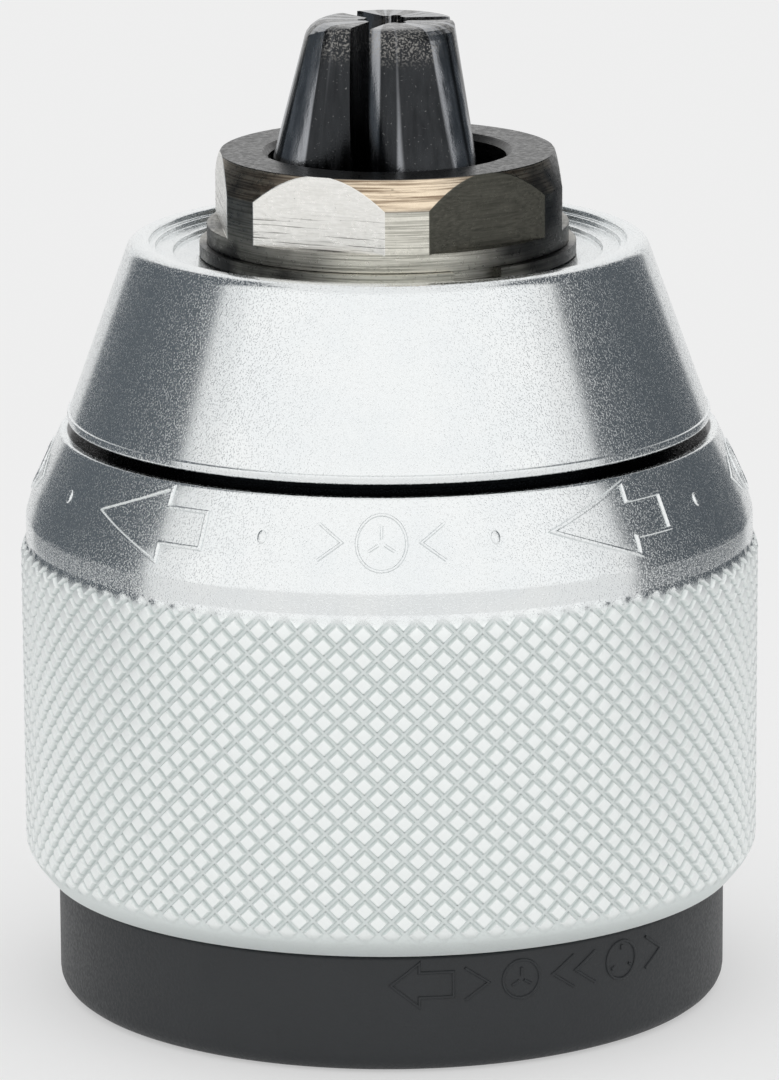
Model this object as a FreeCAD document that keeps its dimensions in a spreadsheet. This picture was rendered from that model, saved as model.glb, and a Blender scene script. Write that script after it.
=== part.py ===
import FreeCAD, Part
import math
import os
from types import SimpleNamespace

import Sketcher

# Keyless drill chuck, 13 mm capacity, 1/2-20 spindle thread.
#
# The chuck axis is Z and the rear face, which seats on the spindle, is at z = 0.
# The nose and the jaw tips point up. Everything is drawn with the first jaw over
# the X axis, and every finished piece is then turned about Z by `facing`.
# Millimetres and degrees throughout.

os.makedirs("parts", exist_ok=True)
doc = FreeCAD.newDocument("drill_chuck")

# ---------------------------------------------------------------- driving sizes

SIZES = [
    ("facing", -54.0, "turn of the whole chuck about its axis"),
    ("body_length", 57.5, "rear face to nose face"),
    # chuck body
    ("hub_radius", 11.4, "rear hub"),
    ("thread_bore_radius", 5.75, "crest radius of the spindle thread"),
    ("thread_bore_depth", 19.0, "spindle thread, from the rear face"),
    ("spindle_pitch", 1.27, "pitch of the spindle thread, 20 to the inch"),
    ("screw_hole_radius", 3.2, "hole for the retaining screw"),
    ("web_thickness", 3.5, "web that the retaining screw clamps"),
    ("cavity_radius", 6.75, "shank space between the jaws"),
    ("nose_bore_radius", 8.0, "mouth that the jaws come out of"),
    ("nose_bore_depth", 8.0, "mouth, from the nose face"),
    ("flange_length", 10.0, "flange that carries the thrust bearing"),
    ("flange_wall", 1.15, "flange outside the jaw bores at its rear face"),
    ("core_radius", 11.6, "body inside the nut"),
    ("front_core_radius", 14.5, "seat of the front sleeve"),
    ("collar_radius", 12.15, "nose collar"),
    ("collar_length", 7.85, "nose collar, from the nose face"),
    ("bevel_length", 2.0, "bevel of the nose face"),
    ("bevel_radius", 11.2, "nose face at the end of the bevel"),
    ("flats_radius", 11.2, "wrench flats, from the axis"),
    ("flats_length", 4.85, "wrench flats, from the nose face"),
    # jaws
    ("jaw_radius", 3.6, "round jaw"),
    ("jaw_angle", 15.0, "jaw axis to chuck axis"),
    ("jaw_apex_height", 14.3, "jaw axes meet this far above the nose face"),
    ("jaw_projection", 8.8, "jaw tips above the nose face"),
    ("jaw_length", 38.0, "along the jaw axis"),
    ("jaw_gap", 0.8, "jaw edge to chuck axis, before the grip lands"),
    ("jaw_clearance", 0.05, "jaw to its bore, on the radius"),
    ("grip_radius", 1.5, "circle that the jaws hold"),
    ("grip_flute_radius", 0.35, "flute down the middle of each grip face"),
    ("tip_round", 1.5, "rounded outer edge of a jaw tip"),
    ("jaw_pitch", 1.6, "jaw travel for one turn of the nut"),
    ("tooth_engagement", 0.7, "nut thread inside the jaw surface"),
    ("tooth_clearance", 0.15, "nut thread to jaw thread"),
    ("tooth_crest", 0.4, "crest width of the nut thread"),
    ("tooth_root", 0.95, "root width of the nut thread"),
    # nut and thrust bearing
    ("nut_front_depth", 20.8, "nut front face below the nose face"),
    ("nut_length", 7.0, "split nut"),
    ("nut_wall", 2.3, "nut outside its thread at the rear face"),
    ("nut_gap", 0.4, "nut to the shoulder in front of it"),
    ("nut_kerf", 0.1, "gap between the two halves of the nut"),
    ("band_wall", 1.0, "band pressed round the nut"),
    ("race_thickness", 1.4, "bearing races"),
    ("race_groove", 0.3, "depth of the ball groove in a race"),
    ("race_inset", 0.4, "race bore outside the jaws"),
    ("ball_diameter", 2.5, "bearing balls"),
    ("ball_clearance", 0.02, "ball to race"),
    ("cage_thickness", 0.9, "ball cage"),
    # ratchet lock
    ("tooth_reach", 0.7, "ratchet teeth outside the flange"),
    ("tooth_depth", 0.6, "depth of the ratchet teeth"),
    ("lock_angle", 20.0, "turn of the clamp sleeve on the nut when it locks"),
    ("lug_angle", 24.0, "width of a drive lug"),
    ("lug_height", 1.7, "drive lugs, outwards from the band"),
    ("skirt_wall", 0.6, "skirt of the nut band"),
    ("lock_clearance", 0.3, "between parts of the lock that pass each other"),
    ("pin_radius", 0.5, "pawl pivot pin"),
    ("pin_clearance", 0.05, "pawl pin to its hole, on the radius"),
    # clamp sleeve
    ("sleeve_radius", 25.0, "over the knurl"),
    ("sleeve_top_radius", 22.2, "front edge of the conical shoulder"),
    ("sleeve_band_radius", 24.6, "smooth band in front of the knurl"),
    ("sleeve_rim_radius", 23.6, "rear edge"),
    ("sleeve_foot", 2.5, "chamfered foot below the knurl"),
    ("shoulder_length", 5.7, "conical shoulder"),
    ("smooth_length", 2.1, "smooth band between knurl and shoulder"),
    ("sleeve_gap", 0.3, "end play of the clamp sleeve at its rear edge"),
    ("sleeve_relief", 1.8, "wall of the sleeve outside the lock"),
    ("run_clearance", 0.08, "clamp sleeve to the parts it turns on, on the radius"),
    # front sleeve
    ("cone_radius", 21.7, "rear edge of the front sleeve"),
    ("cone_bottom_depth", 18.1, "rear edge, below the nose face"),
    ("cone_top_depth", 5.9, "front rim, below the nose face"),
    ("cone_top_radius", 17.35, "front rim, outside, before rounding"),
    ("cone_mouth_radius", 16.0, "recess round the nose"),
    ("cone_floor_depth", 7.0, "floor of the recess, below the nose face"),
    ("cone_lip", 0.6, "straight lip at the rear edge"),
    ("cone_wall", 1.6, "shell of the front sleeve"),
    ("front_gap", 0.7, "visible gap between clamp sleeve and front sleeve"),
    ("neck_length", 2.0, "neck that the clamp sleeve turns on"),
    ("neck_radius", 19.65, "neck that the clamp sleeve turns on"),
    # rear ring and retaining rings
    ("ring_radius", 22.75, "rear ring"),
    ("ring_height", 8.0, "visible part of the rear ring"),
    ("ring_floor", 2.0, "floor of the rear ring"),
    ("ring_recess", 1.2, "floor above the rear face"),
    ("ring_corner", 1.25, "rounded rear edge"),
    ("ring_neck_wall", 1.6, "neck of the rear ring, outside the flange"),
    ("ring_overlap", 2.0, "neck pressed over the flange"),
    ("circlip_thickness", 0.8, "rear circlip"),
    ("circlip_groove", 0.6, "depth of its groove in the hub"),
    ("circlip_width", 2.0, "radial width of the circlip"),
    ("snap_thickness", 0.8, "snap ring on the nose collar"),
    ("snap_groove", 0.4, "depth of its groove in the collar"),
    ("snap_width", 0.9, "radial width of the snap ring"),
]
BALL_COUNT = 20
RATCHET_TEETH = 36
LUG_COUNT = 3
PAWL_COUNT = 2
JAW_COUNT = 3
JAW_TEETH = 18
FLAT_COUNT = 6

sheet = doc.addObject("Spreadsheet::Sheet", "Sizes")
for row, (alias, number, note) in enumerate(SIZES, start=1):
    sheet.set(f"A{row}", alias)
    sheet.set(f"B{row}", str(number))
    sheet.setAlias(f"B{row}", alias)
    sheet.set(f"C{row}", note)
doc.recompute()


class Size:
    """A length or angle, kept together with the expression that gives it."""

    def __init__(self, value, text):
        self.value = float(value)
        self.text = text

    @staticmethod
    def of(thing):
        return thing if isinstance(thing, Size) else Size(thing, repr(float(thing)))

    def __add__(self, other):
        other = Size.of(other)
        return Size(self.value + other.value, f"({self.text} + {other.text})")

    def __sub__(self, other):
        other = Size.of(other)
        return Size(self.value - other.value, f"({self.text} - {other.text})")

    def __mul__(self, other):
        other = Size.of(other)
        return Size(self.value * other.value, f"({self.text} * {other.text})")

    def __truediv__(self, other):
        other = Size.of(other)
        return Size(self.value / other.value, f"({self.text} / {other.text})")

    def __neg__(self):
        return Size(-self.value, f"(0 - {self.text})")

    def __rsub__(self, other):
        return Size.of(other) - self

    __radd__ = __add__
    __rmul__ = __mul__


def sine(angle):
    angle = Size.of(angle)
    return Size(math.sin(math.radians(angle.value)), f"sin({angle.text})")


def cosine(angle):
    angle = Size.of(angle)
    return Size(math.cos(math.radians(angle.value)), f"cos({angle.text})")


size = SimpleNamespace(**{
    alias: Size(sheet.get(alias), f"Sizes.{alias}") for alias, _, _ in SIZES
})

# ------------------------------------------------------------ levels along the axis

nose = size.body_length
jaw_apex = nose + size.jaw_apex_height
jaw_tip = nose + size.jaw_projection
collar_back = nose - size.collar_length
flats_back = nose - size.flats_length
nut_front = nose - size.nut_front_depth
nut_back = nut_front - size.nut_length
core_front = nut_front + size.nut_gap
ball_gap = size.ball_diameter + 2 * size.ball_clearance - 2 * size.race_groove
front_race_back = nut_back - size.race_thickness
rear_race_front = front_race_back - ball_gap
flange_front = rear_race_front - size.race_thickness
flange_back = flange_front - size.flange_length
ball_level = rear_race_front + ball_gap / 2
cone_bottom = nose - size.cone_bottom_depth
cone_top = nose - size.cone_top_depth
cone_floor = nose - size.cone_floor_depth
sleeve_top = cone_bottom - size.front_gap
sleeve_bottom = size.ring_height + size.sleeve_gap
neck_bottom = cone_bottom - size.neck_length
lug_top = nut_front - 0.5
plate_top = nut_back + 0.8
key_bottom = plate_top + 0.4
key_top = neck_bottom - size.sleeve_gap
skirt_bottom = rear_race_front + 0.4

# ------------------------------------------------------------------ shared radii

jaw_cos = cosine(size.jaw_angle)
jaw_sin = sine(size.jaw_angle)
jaw_slope = jaw_sin / jaw_cos


def jaw_outside(level):
    """Radius of the outermost line of a jaw at a height on the chuck axis."""
    return (jaw_apex - level) * jaw_slope + size.jaw_radius / jaw_cos


flange_radius = jaw_outside(flange_back) + size.flange_wall
race_bore = jaw_outside(flange_front) + size.race_inset
nut_radius = jaw_outside(nut_back) + size.tooth_clearance + size.nut_wall
band_radius = nut_radius + size.band_wall
lug_radius = band_radius + size.lug_height
key_radius = band_radius + 0.2
slot_radius = lug_radius + 0.2
ratchet_radius = flange_radius + size.tooth_reach
ratchet_root = ratchet_radius - size.tooth_depth
race_radius = flange_radius - 0.3
ball_circle = (race_bore + race_radius) / 2
skirt_bore = ratchet_radius + 0.2
skirt_radius = skirt_bore + size.skirt_wall
ring_neck_radius = flange_radius + size.ring_neck_wall
sleeve_bore = ring_neck_radius + size.run_clearance
relief_radius = size.sleeve_radius - size.sleeve_relief
pivot_radius = ratchet_radius + 1.1
pawl_back = rear_race_front - size.race_thickness + 0.1
pawl_thickness = size.race_thickness - 0.2

# ------------------------------------------------------------------------ helpers


def bind(feature, prop, length):
    feature.setExpression(prop, Size.of(length).text)


def origin_plane(body, role):
    return next(item for item in body.Origin.OriginFeatures if item.Role == role)


def new_body(label):
    body = doc.addObject("PartDesign::Body", label)
    body.Label = label
    return body


def draw_outline(sketch, corners):
    """Draw a closed outline; every corner is tied to the sheet on both axes."""
    corners = [(Size.of(x), Size.of(y)) for x, y in corners]
    spots = [FreeCAD.Vector(x.value, y.value, 0) for x, y in corners]
    first = sketch.GeometryCount
    for here, there in zip(spots, spots[1:] + spots[:1]):
        sketch.addGeometry(Part.LineSegment(here, there), False)
    count = len(corners)
    for index, (x, y) in enumerate(corners):
        line = first + index
        following = first + (index + 1) % count
        sketch.addConstraint(Sketcher.Constraint("Coincident", line, 2, following, 1))
        for kind, length, axis in (("DistanceX", x, -2), ("DistanceY", y, -1)):
            if length.value == 0.0:
                sketch.addConstraint(Sketcher.Constraint("PointOnObject", line, 1, axis))
                continue
            rule = sketch.addConstraint(
                Sketcher.Constraint(kind, -1, 1, line, 1, length.value))
            bind(sketch, f"Constraints[{rule}]", length)


def draw_circle(sketch, x, y, radius):
    """Draw a circle whose centre and radius are tied to the sheet."""
    x, y, radius = Size.of(x), Size.of(y), Size.of(radius)
    centre = FreeCAD.Vector(x.value, y.value, 0)
    ring = sketch.addGeometry(Part.Circle(centre, FreeCAD.Vector(0, 0, 1), radius.value), False)
    rule = sketch.addConstraint(Sketcher.Constraint("Radius", ring, radius.value))
    bind(sketch, f"Constraints[{rule}]", radius)
    for kind, length, axis in (("DistanceX", x, -2), ("DistanceY", y, -1)):
        if length.value == 0.0:
            sketch.addConstraint(Sketcher.Constraint("PointOnObject", ring, 3, axis))
            continue
        rule = sketch.addConstraint(Sketcher.Constraint(kind, -1, 1, ring, 3, length.value))
        bind(sketch, f"Constraints[{rule}]", length)


def new_sketch(body, name, role, level=0.0):
    """A sketch on one of the body's own planes, lifted along that plane's normal."""
    sketch = body.newObject("Sketcher::SketchObject", name)
    sketch.AttachmentSupport = [(origin_plane(body, role), "")]
    sketch.MapMode = "FlatFace"
    bind(sketch, "AttachmentOffset.Base.z", level)
    return sketch


def turn(body, name, corners, angle=360.0, kind="PartDesign::Revolution"):
    """Turn a half section (radius, height) about the chuck axis."""
    sketch = new_sketch(body, name + "_section", "XZ_Plane")
    draw_outline(sketch, corners)
    feature = body.newObject(kind, name)
    feature.Profile = sketch
    feature.ReferenceAxis = (sketch, ["V_Axis"])
    bind(feature, "Angle", angle)
    doc.recompute()
    return feature


def extrude(body, name, kind, level, height, corners=None, circles=()):
    """Pad or pocket a flat outline between level and level + height."""
    sketch = new_sketch(body, name + "_outline", "XY_Plane", level)
    if corners:
        draw_outline(sketch, corners)
    for x, y, radius in circles:
        draw_circle(sketch, x, y, radius)
    feature = body.newObject(kind, name)
    feature.Profile = sketch
    feature.Reversed = kind.endswith("Pocket")
    bind(feature, "Length", height)
    before = body.Shape.Volume if not body.Shape.isNull() else 0.0
    doc.recompute()
    change = body.Shape.Volume - before
    if change * (1 if kind.endswith("Pad") else -1) <= 0:
        raise RuntimeError(f"{name} changed the volume by {change:.3f}")
    return feature


def repeat(body, features, count, angle=360.0):
    """Repeat features round the chuck axis."""
    pattern = body.newObject("PartDesign::PolarPattern", features[0].Name + "_round")
    pattern.Originals = features
    pattern.Axis = (origin_plane(body, "Z_Axis"), [""])
    pattern.Angle = angle
    pattern.Occurrences = count
    body.Tip = pattern
    doc.recompute()
    return pattern


def polar(radius, angle):
    return radius * cosine(angle), radius * sine(angle)


def sector(inner, outer, start, end, steps=4):
    """Corners of a piece of a ring between two angles."""
    angles = [start + (end - start) * k / steps for k in range(steps + 1)]
    return ([polar(inner, angle) for angle in angles]
            + [polar(outer, angle) for angle in reversed(angles)])


def cut(label, base, tool):
    piece = doc.addObject("Part::Cut", label)
    piece.Label = label
    piece.Base = base
    piece.Tool = tool
    doc.recompute()
    return piece


def common(label, base, tool):
    piece = doc.addObject("Part::Common", label)
    piece.Label = label
    piece.Base = base
    piece.Tool = tool
    doc.recompute()
    return piece


def fuse(label, shapes):
    piece = doc.addObject("Part::MultiFuse", label)
    piece.Label = label
    piece.Shapes = shapes
    doc.recompute()
    return piece


def thread_cutter(name, radius, taper, pitch, level, height, section):
    """Sweep a flat section (outwards, upwards) along a right-hand helix.

    radius is the helix radius at the bottom; it shrinks upwards by the taper.
    """
    helix = doc.addObject("Part::Helix", name + "_helix")
    bind(helix, "Pitch", pitch)
    bind(helix, "Height", height)
    bind(helix, "Radius", radius)
    bind(helix, "Angle", -taper)
    helix.SegmentLength = 1.0
    profile = doc.addObject("Sketcher::SketchObject", name + "_section")
    profile.Placement = FreeCAD.Placement(
        FreeCAD.Vector(), FreeCAD.Rotation(FreeCAD.Vector(1, 0, 0), 90))
    draw_outline(profile, [(radius + x, y) for x, y in section])
    sweep = doc.addObject("Part::Sweep", name)
    sweep.Sections = [profile]
    sweep.Spine = (helix, [])
    sweep.Solid = True
    sweep.Frenet = True
    doc.recompute()
    sweep.setExpression("Placement.Base.z", Size.of(level).text)
    doc.recompute()
    return sweep

# --------------------------------------------------------------------- chuck body


def jaw_bore(index):
    """The inclined hole that one jaw slides in, from behind the flange to the mouth."""
    bore = doc.addObject("Part::Cylinder", f"jaw_bore_{index}")
    bind(bore, "Radius", size.jaw_radius + size.jaw_clearance)
    bind(bore, "Height", (jaw_apex - flange_back) / jaw_cos + 10)
    tilt = FreeCAD.Rotation(FreeCAD.Vector(0, 1, 0), 180 - size.jaw_angle.value)
    about = FreeCAD.Rotation(FreeCAD.Vector(0, 0, 1), 360.0 / JAW_COUNT * (index - 1))
    bore.Placement = FreeCAD.Placement(FreeCAD.Vector(0, 0, jaw_apex.value), about * tilt)
    return bore


def make_chuck_body():
    turned = new_body("turned_body")
    mouth_bottom = nose - size.nose_bore_depth
    web_front = size.thread_bore_depth + size.web_thickness
    groove_bottom = size.ring_recess - size.circlip_thickness - 0.05
    groove_radius = size.hub_radius - size.circlip_groove
    snap_bottom = cone_floor + 0.1
    snap_top = snap_bottom + size.snap_thickness + 0.05
    snap_radius = size.collar_radius - size.snap_groove
    turn(turned, "body_turning", [
        (size.thread_bore_radius + 0.8, 0),
        (size.thread_bore_radius, 0.8),
        (size.thread_bore_radius, size.thread_bore_depth),
        (size.screw_hole_radius, size.thread_bore_depth),
        (size.screw_hole_radius, web_front),
        (size.cavity_radius, web_front),
        (size.cavity_radius, mouth_bottom),
        (size.nose_bore_radius, mouth_bottom),
        (size.nose_bore_radius, nose - 0.4),
        (size.nose_bore_radius + 0.4, nose),
        (size.bevel_radius, nose),
        (size.collar_radius, nose - size.bevel_length),
        (size.collar_radius, snap_top),
        (snap_radius, snap_top),
        (snap_radius, snap_bottom),
        (size.collar_radius, snap_bottom),
        (size.collar_radius, collar_back),
        (size.front_core_radius, collar_back),
        (size.front_core_radius, core_front),
        (size.core_radius, core_front),
        (size.core_radius, flange_front),
        (flange_radius, flange_front),
        (flange_radius, flange_back),
        (size.hub_radius, flange_back),
        (size.hub_radius, size.ring_recess),
        (groove_radius, size.ring_recess),
        (groove_radius, groove_bottom),
        (size.hub_radius, groove_bottom),
        (size.hub_radius, 0.3),
        (size.hub_radius - 0.3, 0),
    ])
    flat_width = size.collar_radius * 1.2
    flat = extrude(turned, "wrench_flat", "PartDesign::Pocket", flats_back,
                   size.flats_length + 1, [
                       (size.flats_radius, -flat_width / 2),
                       (size.collar_radius + 2, -flat_width / 2),
                       (size.collar_radius + 2, flat_width / 2),
                       (size.flats_radius, flat_width / 2),
                   ])
    repeat(turned, [flat], FLAT_COUNT)
    thread = thread_cutter(
        "spindle_thread", size.thread_bore_radius, Size.of(0.0), size.spindle_pitch,
        1.0, size.thread_bore_depth - 1.6,
        [(-0.2, -0.24), (0, -0.24), (0.5, -0.1), (0.5, 0.1), (0, 0.24), (-0.2, 0.24)])
    bores = [jaw_bore(index + 1) for index in range(JAW_COUNT)]
    return cut("chuck_body", turned, fuse("body_cuts", bores + [thread]))


# --------------------------------------------------------------------------- jaws


def jaw_envelope(index):
    """Everything a jaw may fill, in the chuck's own frame, with the jaw over +X."""
    envelope = new_body(f"jaw_envelope_{index}")
    reach = flange_radius + 4
    round_centre = jaw_outside(jaw_tip - size.tip_round) - size.tip_round / jaw_cos
    corners = [(0, -5), (0, jaw_tip), (round_centre, jaw_tip)]
    for step in range(1, 6):
        swing = (90 - size.jaw_angle) * step / 5
        corners.append((round_centre + size.tip_round * sine(swing),
                        jaw_tip - size.tip_round + size.tip_round * cosine(swing)))
    end_radius, end_level = corners[-1]
    drop = end_level - flange_back + 12
    corners.append((end_radius + drop * jaw_slope + 0.002, end_level - drop))
    corners.append((end_radius + drop * jaw_slope + 0.002, -5))
    turn(envelope, f"tip_shape_{index}", corners)
    edge = 2 * reach
    half_turn = 180.0 / JAW_COUNT
    extrude(envelope, f"flanks_{index}", "PartDesign::Pocket", -6, jaw_tip + 8, [
        (size.jaw_gap, 0),
        (size.jaw_gap + edge * cosine(half_turn), edge * sine(half_turn)),
        (-edge, edge * sine(half_turn)),
        (-edge, -edge * sine(half_turn)),
        (size.jaw_gap + edge * cosine(half_turn), -edge * sine(half_turn)),
    ])
    extrude(envelope, f"grip_{index}", "PartDesign::Pocket", -6, jaw_tip + 8,
            circles=[(0, 0, size.grip_radius)])
    extrude(envelope, f"flute_{index}", "PartDesign::Pocket", -6, jaw_tip + 8,
            circles=[(size.grip_radius + 0.1, 0, size.grip_flute_radius)])
    return envelope


def jaw_bar(index):
    """The threaded round bar of one jaw, along its own axis, in the chuck's frame."""
    bar = new_body(f"jaw_bar_{index}")
    tip_reach = (jaw_apex - jaw_tip) / jaw_cos
    bar_end = tip_reach + size.jaw_length
    bar_start = tip_reach - 2
    extrude(bar, f"round_{index}", "PartDesign::Pad", bar_start, bar_end - bar_start,
            circles=[(0, 0, size.jaw_radius)])
    # The bar's own z runs from the apex towards the rear and its -X side faces the
    # nut. The nut thread passes the angle of this jaw at one height, `crest`, and the
    # gaps between the teeth sit at that height.
    axial_pitch = size.jaw_pitch * jaw_cos
    lead = axial_pitch * ((index - 1) / JAW_COUNT)
    crest = thread_start + lead
    at_crest = (jaw_apex - crest) / jaw_cos + (
        size.jaw_radius + size.tooth_clearance) * jaw_slope
    turns = math.ceil((bar_end.value + 0.6 - at_crest.value) / size.jaw_pitch.value)
    last_gap = at_crest + size.jaw_pitch * turns
    side = size.tooth_clearance
    slope = (size.tooth_root - size.tooth_crest) / (
        2 * (size.tooth_engagement + size.tooth_clearance))
    depth = size.tooth_engagement + 0.2
    bottom_half = size.tooth_crest / 2 + side - 0.2 * slope
    mouth_half = bottom_half + (depth + 0.3) * slope
    pivot = size.core_radius
    sketch = new_sketch(bar, f"gap_section_{index}", "XZ_Plane")
    draw_outline(sketch, [
        (depth - size.jaw_radius, last_gap - bottom_half),
        (-size.jaw_radius - 0.3, last_gap - mouth_half),
        (-size.jaw_radius - 0.3, last_gap + mouth_half),
        (depth - size.jaw_radius, last_gap + bottom_half),
    ])
    spine = sketch.addGeometry(Part.LineSegment(
        FreeCAD.Vector(pivot.value, 0, 0), FreeCAD.Vector(pivot.value, 50, 0)), True)
    sketch.addConstraint(Sketcher.Constraint("Vertical", spine))
    sketch.addConstraint(Sketcher.Constraint("PointOnObject", spine, 1, -1))
    rule = sketch.addConstraint(
        Sketcher.Constraint("DistanceX", -1, 1, spine, 1, pivot.value))
    bind(sketch, f"Constraints[{rule}]", pivot)
    groove = bar.newObject("PartDesign::Groove", f"tooth_gap_{index}")
    groove.Profile = sketch
    groove.ReferenceAxis = (sketch, ["Axis0"])
    groove.Angle = 360
    doc.recompute()
    pattern = bar.newObject("PartDesign::LinearPattern", f"teeth_{index}")
    pattern.Originals = [groove]
    pattern.Direction = (origin_plane(bar, "Z_Axis"), [""])
    pattern.Reversed = True
    bind(pattern, "Length", size.jaw_pitch * (JAW_TEETH - 1))
    pattern.Occurrences = JAW_TEETH
    bar.Tip = pattern
    doc.recompute()
    bar.Placement = FreeCAD.Placement(
        FreeCAD.Vector(0, 0, jaw_apex.value),
        FreeCAD.Rotation(FreeCAD.Vector(0, 1, 0), 180 - size.jaw_angle.value))
    return bar


def make_jaw(index):
    return common(f"jaw_{index}", jaw_bar(index), jaw_envelope(index))


# ------------------------------------------------------------------------ split nut

# Height at which the nut thread crosses the first jaw, just below the nut.
thread_start = nut_back - size.jaw_pitch * jaw_cos


def make_nut_halves():
    ring = new_body("nut_ring")
    crest_inset = size.tooth_engagement / jaw_cos
    turn(ring, "nut_turning", [
        (jaw_outside(nut_back) - crest_inset, nut_back),
        (nut_radius, nut_back),
        (nut_radius, nut_front),
        (jaw_outside(nut_front) - crest_inset, nut_front),
    ])
    axial_pitch = size.jaw_pitch * jaw_cos
    cutter_start = thread_start - axial_pitch
    root_radius = jaw_outside(cutter_start) + size.tooth_clearance / jaw_cos
    half_root = (size.jaw_pitch - size.tooth_root) / 2
    half_crest = (size.jaw_pitch - size.tooth_crest) / 2
    height = size.tooth_engagement + size.tooth_clearance
    flank = (half_crest - half_root) / height
    half_open = half_crest + flank * 0.1
    middle = size.jaw_pitch / 2

    def on_cone(inward, along):
        """A corner of the section, square to the cone of the jaws' outer lines."""
        return (-inward * jaw_cos - along * jaw_sin, along * jaw_cos - inward * jaw_sin)

    # The cutter takes out the space between two turns, half a pitch past the crest.
    section = [
        on_cone(Size.of(0.0), middle - half_root),
        on_cone(Size.of(0.0), middle + half_root),
        on_cone(height + 0.1, middle + half_open),
        on_cone(height + 0.1, middle - half_open),
    ]
    cutter = thread_cutter("nut_thread", root_radius, size.jaw_angle, axial_pitch,
                           cutter_start, size.nut_length + 4 * axial_pitch, section)
    threaded = cut("threaded_nut", ring, cutter)
    halves = []
    for index in (1, 2):
        block = doc.addObject("Part::Box", f"half_block_{index}")
        reach = nut_radius + 5
        bind(block, "Length", reach * 2)
        bind(block, "Width", reach)
        bind(block, "Height", size.nut_length + 2)
        bind(block, "Placement.Base.x", -reach)
        offset = size.nut_kerf / 2 if index == 1 else -size.nut_kerf / 2 - reach
        bind(block, "Placement.Base.y", offset)
        bind(block, "Placement.Base.z", nut_back - 1)
        doc.recompute()
        halves.append(common(f"nut_half_{index}", threaded, block))
    return halves


def make_nut_band():
    """Band round the split nut, with drive lugs, a rear skirt and the pawl ears."""
    band = new_body("nut_band")
    turn(band, "band_turning", [
        (nut_radius, nut_back),
        (nut_radius, nut_front),
        (band_radius, nut_front),
        (band_radius, plate_top),
        (skirt_radius, plate_top),
        (skirt_radius, skirt_bottom),
        (skirt_bore, skirt_bottom),
        (skirt_bore, nut_back),
    ])
    half_lug = size.lug_angle / 2
    lug = extrude(band, "drive_lug", "PartDesign::Pad", plate_top, lug_top - plate_top,
                  sector(band_radius - 0.4, lug_radius, -half_lug, half_lug))
    repeat(band, [lug], LUG_COUNT)
    ear_bottom = pawl_back + pawl_thickness + 0.1
    ear = extrude(band, "pawl_ear", "PartDesign::Pad", ear_bottom, plate_top - ear_bottom,
                  sector(skirt_bore + 0.1, pivot_radius + 0.95, -3.0, 3.0))
    hole = extrude(band, "pin_hole", "PartDesign::Pocket", ear_bottom - 1, 3.2,
                   circles=[(pivot_radius, 0, size.pin_radius + size.pin_clearance)])
    ears = repeat(band, [ear, hole], PAWL_COUNT)
    band.Tip = ears
    return band


# ---------------------------------------------------------------------- bearing


def ball_groove(race_body, name, level, up):
    """Shallow round groove for the balls in the face of a race."""
    sketch = new_sketch(race_body, name + "_section", "XZ_Plane")
    half = size.ball_diameter / 2 + size.ball_clearance
    centre = level + half - size.race_groove if up else level - half + size.race_groove
    draw_circle(sketch, ball_circle, centre, half)
    groove = race_body.newObject("PartDesign::Groove", name)
    groove.Profile = sketch
    groove.ReferenceAxis = (sketch, ["V_Axis"])
    groove.Angle = 360
    doc.recompute()


def make_ratchet_race():
    """Rear bearing race; its rim carries the ratchet teeth of the lock."""
    race = new_body("ratchet_race")
    turn(race, "race_turning", [
        (race_bore, flange_front),
        (ratchet_radius, flange_front),
        (ratchet_radius, rear_race_front),
        (race_bore, rear_race_front),
    ])
    ball_groove(race, "rear_ball_groove", rear_race_front, up=True)
    tooth = 360.0 / RATCHET_TEETH
    gap = extrude(race, "tooth_space", "PartDesign::Pocket", flange_front - 1,
                  size.race_thickness + 2, [
                      polar(ratchet_root, ratchet_phase),
                      polar(ratchet_radius + 0.4, ratchet_phase),
                      polar(ratchet_radius + 0.4, ratchet_phase - tooth * 0.8),
                      polar(ratchet_radius, ratchet_phase - tooth * 0.8),
                  ])
    repeat(race, [gap], RATCHET_TEETH)
    return race


def make_front_race():
    race = new_body("front_race")
    turn(race, "front_race_turning", [
        (race_bore, front_race_back),
        (race_radius, front_race_back),
        (race_radius, nut_back),
        (race_bore, nut_back),
    ])
    ball_groove(race, "front_ball_groove", front_race_back, up=False)
    return race


def make_ball_cage():
    cage = new_body("ball_cage")
    bottom = ball_level - size.cage_thickness / 2
    turn(cage, "cage_turning", [
        (race_bore + 0.3, bottom),
        (race_radius - 0.1, bottom),
        (race_radius - 0.1, bottom + size.cage_thickness),
        (race_bore + 0.3, bottom + size.cage_thickness),
    ])
    pocket = extrude(cage, "ball_pocket", "PartDesign::Pocket", bottom - 1,
                     size.cage_thickness + 2,
                     circles=[(ball_circle, 0, size.ball_diameter / 2 + 0.06)])
    repeat(cage, [pocket], BALL_COUNT)
    return cage


def make_balls():
    """The loose balls of the thrust bearing, as one group of separate solids."""
    balls = []
    for index in range(BALL_COUNT):
        ball = doc.addObject("Part::Sphere", f"ball_{index + 1}")
        bind(ball, "Radius", size.ball_diameter / 2)
        angle = 360.0 / BALL_COUNT * index
        x, y = polar(ball_circle, angle)
        bind(ball, "Placement.Base.x", x)
        bind(ball, "Placement.Base.y", y)
        bind(ball, "Placement.Base.z", ball_level)
        balls.append(ball)
    group = doc.addObject("Part::Compound", "bearing_balls")
    group.Label = "bearing_balls"
    group.Links = balls
    doc.recompute()
    return group


# ------------------------------------------------------------------------- lock

# Angles round the chuck axis, measured from a pawl's pivot towards its tip.
PAWL_TIP = 33.0
PAWL_TIP_WIDTH = 3.0
CAM_PEAK = 18.0
CAM_HALF_WIDTH = 2.5
PAWL_SWING = 3.6
TIP_ADVANCE = 0.5
ratchet_phase = PAWL_TIP + TIP_ADVANCE + 0.6


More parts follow.
